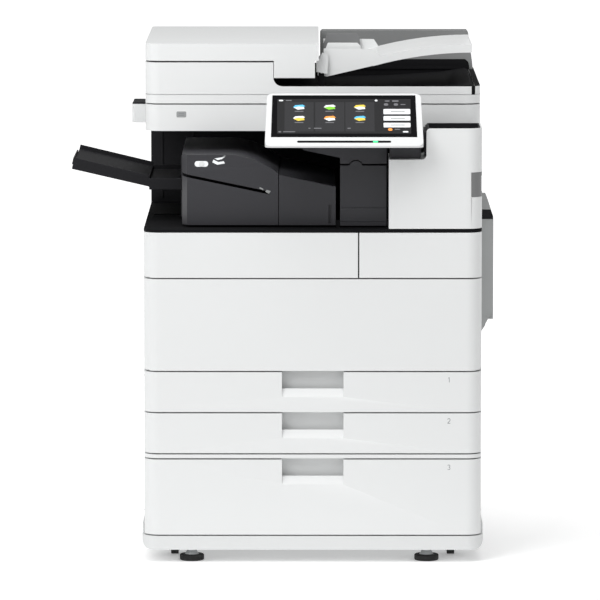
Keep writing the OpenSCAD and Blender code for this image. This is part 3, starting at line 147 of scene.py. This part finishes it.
# The release grip's own colour; on the rear guide it stands for a white part painted darker as painted shade.
lever_grey_and_guide_shade = finish_of("lever_grey_and_guide_shade", (0.175, 0.178, 0.18), 0.46, grain=1300, relief=0.3, tone=0.06)
# Colour of printed marks; on the hand-feed flap and the top of the right door's bulge it is white plastic
# painted darker as painted shade.
pale_print_and_shade = finish_of("pale_grey_print_and_shade", (0.30, 0.31, 0.31), 0.45, grain=1300, relief=0.2, tone=0.05)
tray_grey = finish_of("tray_grey", (0.33, 0.34, 0.34), 0.5, grain=1100, relief=0.3, tone=0.08)
steel = finish_of("galvanised_steel", (0.60, 0.61, 0.62), 0.34, grain=160, relief=0.08,
                  tone=0.25, spread=0.14, Metallic=1.0)
shaft = finish_of("ground_steel", (0.66, 0.66, 0.67), 0.22, grain=700, relief=0.05, tone=0.08, Metallic=1.0)
rubber = finish_of("rubber", (0.012, 0.012, 0.012), 0.78, grain=2200, relief=0.5, tone=0.25)
glossy = finish_of("gloss_black", (0.003, 0.003, 0.004), 0.07, grain=60, relief=0.0, tone=0.1,
                   spread=0.02, Specular_IOR_Level=0.12)
glass = finish_of("platen_glass", (0.86, 0.93, 0.91), 0.04, grain=40, relief=0.0, tone=0.02,
                  spread=0.01, Transmission_Weight=0.9, IOR=1.5)
drum_blue = finish_of("drum_coating", (0.03, 0.16, 0.20), 0.14, grain=300, relief=0.0, tone=0.1,
                      Coat_Weight=0.5)
fuser_red = finish_of("fuser_sleeve", (0.20, 0.055, 0.03), 0.28, grain=400, relief=0.05, tone=0.12)
silicone = finish_of("silicone", (0.50, 0.17, 0.09), 0.6, grain=900, relief=0.2, tone=0.1)
board = finish_of("circuit_board", (0.02, 0.16, 0.07), 0.32, grain=420, relief=0.25, tone=0.35)
copper = finish_of("contacts", (0.75, 0.50, 0.22), 0.3, grain=500, relief=0.05, tone=0.1, Metallic=1.0)
screen = glow("screen_ground", (0.022, 0.022, 0.023), 0.2)
icon_label = glow("icon_label", (0.16, 0.16, 0.17), 0.2)
ui_bar = glow("screen_bar", (0.034, 0.034, 0.036), 0.2)
ui_white = glow("icon_white", (0.72, 0.74, 0.75), 0.2)
ui_blue = glow("icon_blue", (0.10, 0.42, 0.66), 0.4)
ui_green = glow("icon_green", (0.20, 0.52, 0.05), 0.4)
ui_yellow = glow("icon_yellow", (0.72, 0.52, 0.08), 0.3)
ui_orange = glow("icon_orange", (0.80, 0.28, 0.06), 0.5)
lamp = glow("status_lamp", (0.05, 0.75, 0.22), 1.4)
print_grey = finish_of("printed_grey", (0.22, 0.23, 0.24), 0.5, relief=0.05, tone=0.05)


# ---------------------------------------------------------------- the shells
# Each CAD node is shown by a copy of itself with welded corners and rounded edges. The copy can hold
# several finishes, chosen by where its faces lie.
def skin(node, material, body, edge=0.7, segments=3, zones=()):
    """Welded copy of a node, bevelled by edge mm; zones are (finish, test(x, y, z) in mm) pairs."""
    bm = bmesh.new()
    bm.from_mesh(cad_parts[node].data)
    bmesh.ops.remove_doubles(bm, verts=bm.verts, dist=2e-5)
    bmesh.ops.dissolve_limit(bm, angle_limit=math.radians(0.6), verts=bm.verts, edges=bm.edges)
    mesh = bpy.data.meshes.new(node + "_skin")
    bm.to_mesh(mesh)
    bm.free()
    mesh.materials.clear()
    mesh.materials.append(material)
    count = len(mesh.polygons)
    index = np.zeros(count, np.int32)
    if zones:
        c = np.empty(count * 3)
        mesh.polygons.foreach_get("center", c)
        c = (c.reshape(-1, 3) - [centre_x, front_y, 0]) * 1000
        for k, (finish, test) in enumerate(zones):
            mesh.materials.append(finish)
            index[test(c[:, 0], c[:, 1], c[:, 2])] = k + 1
    mesh.polygons.foreach_set("material_index", index)
    mesh.polygons.foreach_set("use_smooth", np.ones(count, bool))
    mesh.set_sharp_from_angle(angle=math.radians(34))
    o = bpy.data.objects.new(node + "_skin", mesh)
    bpy.context.scene.collection.objects.link(o)
    if edge:
        m = o.modifiers.new("round_edges", "BEVEL")
        m.width, m.segments = edge / 1000, segments
        m.limit_method, m.angle_limit = "ANGLE", math.radians(34)
        m.harden_normals = True
        m.use_clamp_overlap = True
    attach(o, body)
    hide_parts(node)
    return o


def solid(name, parts, body, edge=0.0):
    """One piece from (vertices in mm, faces, finish) parts, riding on a body."""
    verts, faces, finishes, index = [], [], [], []
    for v, f, finish in parts:
        if finish not in finishes:
            finishes.append(finish)
        base = len(verts)
        verts.extend(at(*p) for p in v)
        faces.extend([base + i for i in face] for face in f)
        index.extend([finishes.index(finish)] * len(f))
    mesh = bpy.data.meshes.new(name)
    mesh.from_pydata(verts, [], faces)
    for finish in finishes:
        mesh.materials.append(finish)
    mesh.polygons.foreach_set("material_index", np.array(index, np.int32))
    mesh.polygons.foreach_set("use_smooth", np.ones(len(faces), bool))
    mesh.set_sharp_from_angle(angle=math.radians(34))
    o = bpy.data.objects.new(name, mesh)
    bpy.context.scene.collection.objects.link(o)
    if edge:
        m = o.modifiers.new("round_edges", "BEVEL")
        m.width, m.segments, m.limit_method, m.angle_limit = edge / 1000, 2, "ANGLE", math.radians(34)
    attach(o, body)
    return o


def prism(outline, place, a, b, finish):
    """Outline points (u, v) carried from depth a to depth b; place(u, v, d) gives the point in mm."""
    n = len(outline)
    v = [place(*p, a) for p in outline] + [place(*p, b) for p in outline]
    f = [list(range(n))[::-1], list(range(n, 2 * n))]
    f += [[i, (i + 1) % n, n + (i + 1) % n, n + i] for i in range(n)]
    return v, f, finish


def box_part(a, b, finish):
    v = [(x, y, z) for x in (a[0], b[0]) for y in (a[1], b[1]) for z in (a[2], b[2])]
    return v, [[0, 1, 3, 2], [4, 6, 7, 5], [0, 4, 5, 1], [2, 3, 7, 6], [0, 2, 6, 4], [1, 5, 7, 3]], finish


def turned(centre, axis, profile, finish, steps=40):
    """Profile points (radius, along) turned about an axis through centre: x, y or z."""
    t = np.linspace(0, 2 * np.pi, steps, endpoint=False)
    r, d = np.array(profile, float).T
    ring = np.stack([np.outer(r, np.cos(t)), np.outer(r, np.sin(t)), np.outer(d, np.ones(steps))], -1)
    order = {"x": (2, 0, 1), "y": (0, 2, 1), "z": (0, 1, 2)}[axis]
    v = (ring[..., order] + np.array(centre)).reshape(-1, 3)
    k = len(profile)
    f = [[i * steps + j, i * steps + (j + 1) % steps, (i + 1) * steps + (j + 1) % steps, (i + 1) * steps + j]
         for i in range(k - 1) for j in range(steps)]
    f += [list(range(steps))[::-1], list(range((k - 1) * steps, k * steps))]
    return v.tolist(), f, finish


def rounded(w, h, r, steps=6, cx=0.0, cy=0.0):
    """Outline of a rounded rectangle of w by h about (cx, cy)."""
    a = np.linspace(0, np.pi / 2, steps)
    out = []
    for sx, sy, start in ((1, 1, 0), (-1, 1, 1), (-1, -1, 2), (1, -1, 3)):
        t = a + start * np.pi / 2
        mid_x, mid_y = cx + sx * (w / 2 - r), cy + sy * (h / 2 - r)
        out += [(mid_x + r * c, mid_y + r * s) for c, s in zip(np.cos(t), np.sin(t))]
    return out


def stroke(points, width):
    """Outline of a line of the given width through points, by offsetting each along its normal."""
    p = np.array(points, float)
    d = np.gradient(p, axis=0)
    n = np.stack([-d[:, 1], d[:, 0]], 1) / np.linalg.norm(d, axis=1)[:, None] * width / 2
    return np.concatenate([p - n, (p + n)[::-1]]).tolist()


# ---------------------------------------------------------------- base, frame and covers
# Plinth, inner frame and outer covers; the frame's feed rollers are rubber on steel shafts.
skin("plinth", base_white, "machine", edge=1.6)
skin("frame", steel, "machine", edge=0.3, segments=2,
     zones=((rubber, lambda x, y, z: (np.abs(x - low("frame")[0] - 534) < 8.2) & (y > 290.5) & (y < 349.5)),))
skin("joint_strip", white, "machine", edge=0.8)
skin("left_cover", white, "machine", edge=1.0)
door_z = low("front_door")[2]
skin("right_cover", white, "machine", edge=1.0,
     zones=((shaft, lambda x, y, z: (x < half_w - 5) & (z < door_z + 11) & (z > door_z + 3) & (y > 149)),))
inlet = np.array([-half_w + 75, high("rear_cover")[1], low("deep_drawer_front")[2] + 51])
skin("rear_cover", white, "machine", edge=0.8,
     zones=((dark, lambda x, y, z: (np.abs(x - inlet[0]) < 15.2) & (np.abs(z - inlet[2]) < 11.2)),))
skin("inner_cover", satin, "machine", edge=0.6)
skin("rear_units", steel, "machine", edge=0.4,
     zones=((board, lambda x, y, z: (x < -59) & (y > 600)), (dark, lambda x, y, z: (x < 62) & (y < 445)),
            (black, lambda x, y, z: (np.abs(x - 150) < 41) & (y > 638))))
skin("caster_mounts", steel, "machine", edge=0.3)
skin("levelling_feet", rubber, "machine", edge=0.5, zones=((steel, lambda x, y, z: z > 11.2),))

# Three pins in the power inlet, connector shells by it, screws round the rear cover and their washers.
pins = [box_part(inlet + (x - 1, -17.5, z - 2.5), inlet + (x + 1, -4, z + 2.5), copper)
        for x, z in ((-6, -1), (0, 2), (6, -1))]
solid("inlet_pins", pins, "machine")
rear_y = high("rear_cover")[1]
head_h = 1.9
screw = [(0.0, head_h), (1.2, head_h), (1.3, 1.0), (1.9, 1.0), (3.4, 0.9), (3.8, 0.0)]
solid("rear_screws", [turned((x, rear_y - head_h, z), "y", screw[::-1], shaft, 20)
                      for x in (-half_w + 14, -105, 105, half_w - 14) for z in (70, 300, 520, 740)],
      "machine")
for side in (-1, 1):
    name = "left" if side < 0 else "right"
    profile = [(r, side * d) for r, d in screw[::-side]]
    solid(name + "_screws", [turned((side * half_w, y, z), "x", profile, shaft, 20)
                             for y, z in ((60, 90), (640, 90), (640, 330), (640, 560), (60, 340))], "machine")
ports = []
for i in range(4):
    x = half_w - 120 + 22 * i
    z = low("deck")[2] - 35
    ports += [box_part((x + 1, rear_y - 2.9, z - 4), (x + 13, rear_y - 1.5, z + 4), shaft),
              box_part((x + 2.5, rear_y - 2.0, z - 1), (x + 11.5, rear_y - 1.2, z + 1), black)]
solid("rear_ports", ports, "machine")

# ---------------------------------------------------------------- front panels
# Upper covers, door and the fixed cover, with softly rounded rims.
skin("fixed_front_cover", white, "machine", edge=1.2)
skin("front_door", white, "front_door", edge=1.2)
skin("toner_cover", white, "toner_cover", edge=1.2)

# ---------------------------------------------------------------- drawers
# Fronts, trays and lifting plates, and the raised number on each front.
for name in ("deep", "middle", "upper"):
    skin(name + "_drawer_front", white, name + "_drawer", edge=1.2)
    skin(name + "_drawer_tray", tray_grey, name + "_drawer", edge=0.5)
    skin(name + "_drawer_lifter", steel, name + "_lifter", edge=0.3)


def arc(cx, cy, r, a, b, n=14):
    t = np.radians(np.linspace(a, b, n))
    return [(cx + r * c, cy + r * s) for c, s in zip(np.cos(t), np.sin(t))]


figures = {
    "upper": [stroke([(-1.6, 3.0), (-0.4, 3.6), (0.5, 4.6), (0.5, 2.0), (0.5, -4.6)], 1.0)],
    "middle": [stroke(arc(0, 2.2, 2.3, 165, -35) + [(-2.2, -4.1)], 1.0),
               stroke([(-2.7, -4.1), (2.7, -4.1)], 1.0)],
    "deep": [stroke(arc(0, 2.2, 2.1, 150, -80), 1.0), stroke(arc(0, -2.2, 2.3, 85, -150), 1.0)],
}
for name, shapes in figures.items():
    z = high(name + "_drawer_front")[2] - 14
    solid(name + "_number", [prism(s, lambda u, v, d: (250 + u, d, z + v), 0.1, -0.15, print_grey)
                             for s in shapes], name + "_drawer")

# ---------------------------------------------------------------- print unit
# What shows behind the open doors: toner bottle, drum and the fixing pair.
skin("toner_bottle", satin, "toner_bottle", edge=0.8)
skin("drum", drum_blue, "drum", edge=0.5, zones=((dark, lambda x, y, z: y < 60),))
skin("fixing_roller", fuser_red, "fixing_roller", edge=0.4)
skin("pressure_roller", silicone, "pressure_roller", edge=0.4)
inner_y = low("inner_cover")[1] + 30
solid("inner_screws", [turned((x, inner_y, z), "y", [(r, -d) for r, d in screw], shaft, 20)
                       for x in (-270, -60, 90, 268) for z in (door_z + 12, high("front_door")[2] - 14)],
      "machine")

# ---------------------------------------------------------------- right side
# Right door with the hand-feed tray, its flap, and the release grip on the tower's corner. The door's outer
# side, the tray and the flap are white cover painted darker as painted shade, and the bulge's top a little
# lighter where light from above falls on it.
side_x = half_w + 0.05
cap_z = high("hand_tray")[2] + 1
cap_y = low("hand_tray")[1] - 1.1
# Faces beyond the door's side are painted darker as painted shade; the bulge's top faces are painted a little
# lighter, as painted light from above on a shaded part.
skin("right_door", white, "right_door", edge=1.0,
     zones=((painted_shade_white, lambda x, y, z: x > side_x),
            (pale_print_and_shade, lambda x, y, z: (x > side_x) & (z > cap_z) & (y > cap_y)),
            (dark, lambda x, y, z: (x > side_x) & (y < cap_y))))
# The hand-feed tray is painted darker as painted shade.
skin("hand_tray", painted_shade_white, "hand_tray", edge=1.0)
# The flap is painted darker as painted shade.
skin("hand_tray_flap", pale_print_and_shade, "hand_tray_flap", edge=0.6)
skin("release_lever", lever_grey_and_guide_shade, "release_lever", edge=0.8,
     zones=((dark, lambda x, y, z: z > high("release_lever")[2] - 1),))

# ---------------------------------------------------------------- deck, cavity and tower
# Dark deck and back wall, the white tower and its dark dish.
skin("deck", black, "machine", edge=0.8)
skin("cavity_wall", dark, "machine", edge=0.5, zones=((steel, lambda x, y, z: y > low("deck")[1] + 540),))
skin("tower_cover", white, "machine", edge=1.2)
skin("tower_tray", dark, "machine", edge=0.6)

# ---------------------------------------------------------------- finisher
# Stapler housing, exit housing, jam door, button and the side tray with its ribs.
skin("finisher_body", satin, "machine", edge=1.2)
skin("exit_housing", satin, "machine", edge=1.0)
skin("jam_door", satin, "jam_door", edge=0.8)
skin("staple_button", white, "staple_button", edge=0.8)
skin("stack_tray", dark, "stack_tray", edge=1.0)
skin("stack_extension", dark, "stack_extension", edge=0.8)
staple = (low("staple_button") + high("staple_button")) / 2
finisher_y = low("finisher_body")[1]
face = lambda u, v, d: (staple[0] + u, finisher_y + d, staple[2] + v)
marks = [prism(rounded(25, 10.5, 5.2), face, 0.2, -0.5, ui_white)]
marks += [prism(outline, face, 0.2, -0.3, finish) for outline, finish in (
    ([(20, 3), (29, -1.5), (43, 1), (41, 5), (31, 3.5), (22, 8)], ui_white),
    ([(24, 10), (30, 7), (38, 9), (43, 13), (33, 11.5)], ui_white),
    ([(39, 14), (44, 16), (43, 11)], pale_print_and_shade), ([(106, -45), (113, -48.5), (114, -46), (107, -42.5)], pale_print_and_shade),
    ([(117, -51), (124, -55), (127, -50), (120, -47.5)], pale_print_and_shade))]
solid("staple_marks", marks, "machine")

# ---------------------------------------------------------------- reader
# Flatbed with its glass, rails and carriage.
skin("reader_body", white, "machine", edge=1.4,
     zones=((dark, lambda x, y, z: (x < -half_w - 0.5) & (z > high("platen_glass")[2] - 4.2)),))
skin("platen_glass", glass, "machine", edge=0.2)
skin("scan_rails", shaft, "machine", edge=0.2)
skin("scan_carriage", dark, "scan_carriage", edge=0.6)
reader_y = 140
mark = lambda u, v, d: (-243 + u, reader_y + d, high("platen_glass")[2] - 18 + v)
solid("reader_mark", [prism(rounded(18, 11, 2), mark, 0.2, -0.2, pale_print_and_shade),
                      prism(rounded(10, 1.4, 0.6, cy=1.5), mark, 0.0, -0.35, print_grey),
                      prism(rounded(10, 1.4, 0.6, cy=-1.5), mark, 0.0, -0.35, print_grey)], "machine")

# ---------------------------------------------------------------- touch panel
# White housing, black glass, the lit page behind it, the status slot and its lamp.
lean = math.radians(55)
glass_low, glass_high = low("touch_glass"), high("touch_glass")
panel_x = (glass_low[0] + glass_high[0]) / 2
panel_y = glass_low[1] + 49.85 * math.sin(lean) - 0.1 * math.cos(lean)
panel_z = glass_low[2] + 49.85 * math.cos(lean) + 2 * math.sin(lean)


def on_panel(u, v, d):
    """u across, v up the panel's face, d out of it."""
    back, up = v * math.sin(lean) - d * math.cos(lean), v * math.cos(lean) + d * math.sin(lean)
    return (panel_x + u, panel_y + back, panel_z + up)


skin("panel_arm", satin, "machine", edge=1.0)
panel_t = 20.2
skin("panel_housing", white, "panel", edge=1.6,
     zones=((satin, lambda x, y, z: (z - panel_z) * math.sin(lean)
             - (y - panel_y) * math.cos(lean) < -panel_t),))
skin("touch_glass", glossy, "panel", edge=0.2)
page = [prism(rounded(244, 99, 1.5, cy=9.5), on_panel, -0.1, 0.05, screen)]
page += [prism(rounded(53, 42, 1, cx=u, cy=v), on_panel, 0.0, 0.1, ui_bar)
         for u in (-82, -26, 29) for v in (29, -13)]


def sheets(u, v, upper, lower):
    """Two overlapping slanted sheets, the lower one in front, with a label line under them."""
    behind = [(u - 11, v + 0.5), (u - 1, v - 4), (u + 11, v + 3), (u + 7, v + 7.5), (u - 7, v + 6)]
    before = [(u - 10, v - 1), (u - 2, v - 7), (u + 10, v - 4.5), (u + 9, v + 0.5), (u - 1, v + 2)]
    page.extend([prism(behind, on_panel, 0.0, 0.2, upper), prism(before, on_panel, 0.1, 0.3, lower),
                 prism(rounded(16, 2.2, 1, cx=u, cy=v - 11.5), on_panel, 0.0, 0.2, icon_label)])


for u, v, upper, lower in ((-82, 35, ui_blue, ui_white), (-26, 35, ui_white, ui_green),
                           (29, 35, ui_yellow, ui_white), (-82, 3, ui_white, ui_yellow),
                           (-26, 3, ui_orange, ui_white), (29, 3, ui_blue, ui_yellow)):
    sheets(u, v, upper, lower)
for v, h in ((22.7, 15), (3.5, 13), (-15.8, 13)):
    page += [prism(rounded(49, h, 2, cx=96.5, cy=v), on_panel, 0.0, 0.2, ui_white),
             prism(rounded(26, 2.2, 1, cx=98, cy=v), on_panel, 0.1, 0.3, pale_print_and_shade)]
# Small marks along the top, by the buttons and along the bottom: place, width, height, finish.
for u, v, w, h, finish in (
        (-115, 54.5, 8, 4, ui_white), (-101, 54.5, 11, 2.4, icon_label), (59, 54.5, 5, 5, ui_white),
        (79, 53, 9, 3, icon_label), (94, 53, 12, 4, icon_label), (77, 43, 8, 7, icon_label),
        (95, 43, 8, 7, icon_label), (108, 43, 9, 2.4, icon_label), (84, -28.5, 8, 7, ui_orange),
        (97, -28, 10, 2.4, icon_label), (-63, -25, 4, 2.4, icon_label), (-48, -25, 14, 2.4, icon_label),
        (9, -25, 6, 2.8, icon_label), (-117, -35, 5, 3.6, icon_label), (-100, -35, 22, 2.2, icon_label),
        (112, -35, 10, 4, ui_white)):
    page.append(prism(rounded(w, h, min(w, h) * 0.45, cx=u, cy=v), on_panel, 0.1, 0.25, finish))
solid("touch_page", page, "panel")
solid("status_slot", [prism(rounded(171, 6, 2.9, cy=-63), on_panel, -0.1, 0.12, black),
                      prism(rounded(9, 4, 1.6, cx=57, cy=-63), on_panel, 0.0, 0.3, lamp)], "panel")

# ---------------------------------------------------------------- document feeder
# Base with the dark lower tray, housing, feed cover, input tray and its two guides.
base_z = high("platen_glass")[2] + 2.4
rim_z = base_z + 31.6
# The feeder's rear wall faces are painted darker as painted shade.
skin("feeder_body", white, "feeder", edge=1.4,
     zones=((black, lambda x, y, z: (x > -72.5) & (x < half_w - 10.4) & (y > 143.2) & (y < 592.2)
             & (z > base_z + 11.9) & (z < rim_z + 45) & ((z < rim_z + 22) | (x < 60))
             & ~((y < 165) & (x > 6.2) & (x < 29.5) & (z > rim_z + 20.5))),
            (rear_wall_shade_paint, lambda x, y, z: (x > 14) & (y > 591.8) & (y < 639) & (z > rim_z + 0.2)),
            (shaft, lambda x, y, z: (y > 641))))
skin("feed_cover", white, "feed_cover", edge=1.4,
     zones=((rubber, lambda x, y, z: (x < -20) & (x > -50) & (y > 279) & (y < 321)
             & (z < low("feed_cover")[2] + 27)),))
skin("input_tray", white, "input_tray", edge=0.8)
skin("front_guide", white, "front_guide", edge=0.6)
# The rear guide is painted dark as painted shade.
skin("rear_guide", lever_grey_and_guide_shade, "rear_guide", edge=0.6)

# ---------------------------------------------------------------- casters
# Forks and wheels, the forks steel and the wheels rubber.
for k in ("fl", "fr", "rl", "rr"):
    skin("caster_fork_" + k, steel, "caster_" + k, edge=0.3)
    skin("caster_wheel_" + k, rubber, "wheel_" + k, edge=0.8)

# ---------------------------------------------------------------- room
# Wide pale floor that brightens towards the back, a broad key light from the upper left, side, fill
# and top lights.
mesh = bpy.data.meshes.new("floor")
mesh.from_pydata([(-40, -40, 0), (40, -40, 0), (40, 40, 0), (-40, 40, 0)], [], [[0, 1, 2, 3]])
floor = bpy.data.objects.new("floor", mesh)
bpy.context.scene.collection.objects.link(floor)
paper = finish_of("paper_floor", (0.93, 0.93, 0.93), 0.7, grain=300, relief=0.02, tone=0.01,
                  Emission_Color=(1, 1, 1, 1))
n, l = paper.node_tree.nodes, paper.node_tree.links
place, split, span, ramp = (n.new("ShaderNode" + kind)
                            for kind in ("TexCoord", "SeparateXYZ", "MapRange", "ValToRGB"))
span.inputs["From Min"].default_value, span.inputs["From Max"].default_value = -1.5, 1.5
for spot, level in zip(ramp.color_ramp.elements, (0.0, 0.75)):
    spot.color = (level, level, level, 1)
for where, level in ((0.22, 0.0), (0.34, 0.18), (0.5, 0.28), (0.66, 0.5)):
    ramp.color_ramp.elements.new(where).color = (level, level, level, 1)
l.new(place.outputs["Object"], split.inputs["Vector"])
l.new(split.outputs["Y"], span.inputs["Value"])
l.new(span.outputs["Result"], ramp.inputs["Fac"])
l.new(ramp.outputs["Color"], n["Principled BSDF"].inputs["Emission Strength"])
mesh.materials.append(paper)


def area(name, place, aim, size, power, colour=(1, 1, 1)):
    light = bpy.data.lights.new(name, "AREA")
    light.shape, light.size, light.size_y = "RECTANGLE", size[0], size[1]
    light.energy, light.color = power, colour
    o = bpy.data.objects.new(name, light)
    bpy.context.scene.collection.objects.link(o)
    o.location = place
    o.rotation_mode = "QUATERNION"
    o.rotation_quaternion = (Vector(aim) - Vector(place)).to_track_quat("-Z", "Y")
    return o


area("key", (-2.2, -3.6, 3.4), (0, 0, 0.5), (2.6, 2.2), 88)
area("fill", (3.2, -3.4, 1.8), (0, 0, 0.5), (2.4, 2.4), 10)
area("side", (-3.4, -1.4, 1.9), (0, 0, 0.5), (1.6, 2.2), 16)
area("top", (0, -1.3, 3.4), (0, -0.2, 0), (3.0, 2.0), 62)
world = bpy.data.worlds.new("studio")
bpy.context.scene.world = world
world.use_nodes = True
world.node_tree.nodes["Background"].inputs["Color"].default_value = (1, 1, 1, 1)
world.node_tree.nodes["Background"].inputs["Strength"].default_value = 0.42

# ---------------------------------------------------------------- camera
# Long lens a little above the machine, aimed at its middle.
camera = bpy.data.objects.new("camera", bpy.data.cameras.new("camera"))
bpy.context.scene.collection.objects.link(camera)
camera.data.lens = 346.2
camera.location = at(0, -10500, 1665)
camera.rotation_mode = "QUATERNION"
camera.rotation_quaternion = (at(-23.3, 0, 486.5) - camera.location).to_track_quat("-Z", "Y")
camera.data.clip_end = 60
bpy.context.scene.camera = camera
bpy.context.scene.view_settings.view_transform = "Standard"
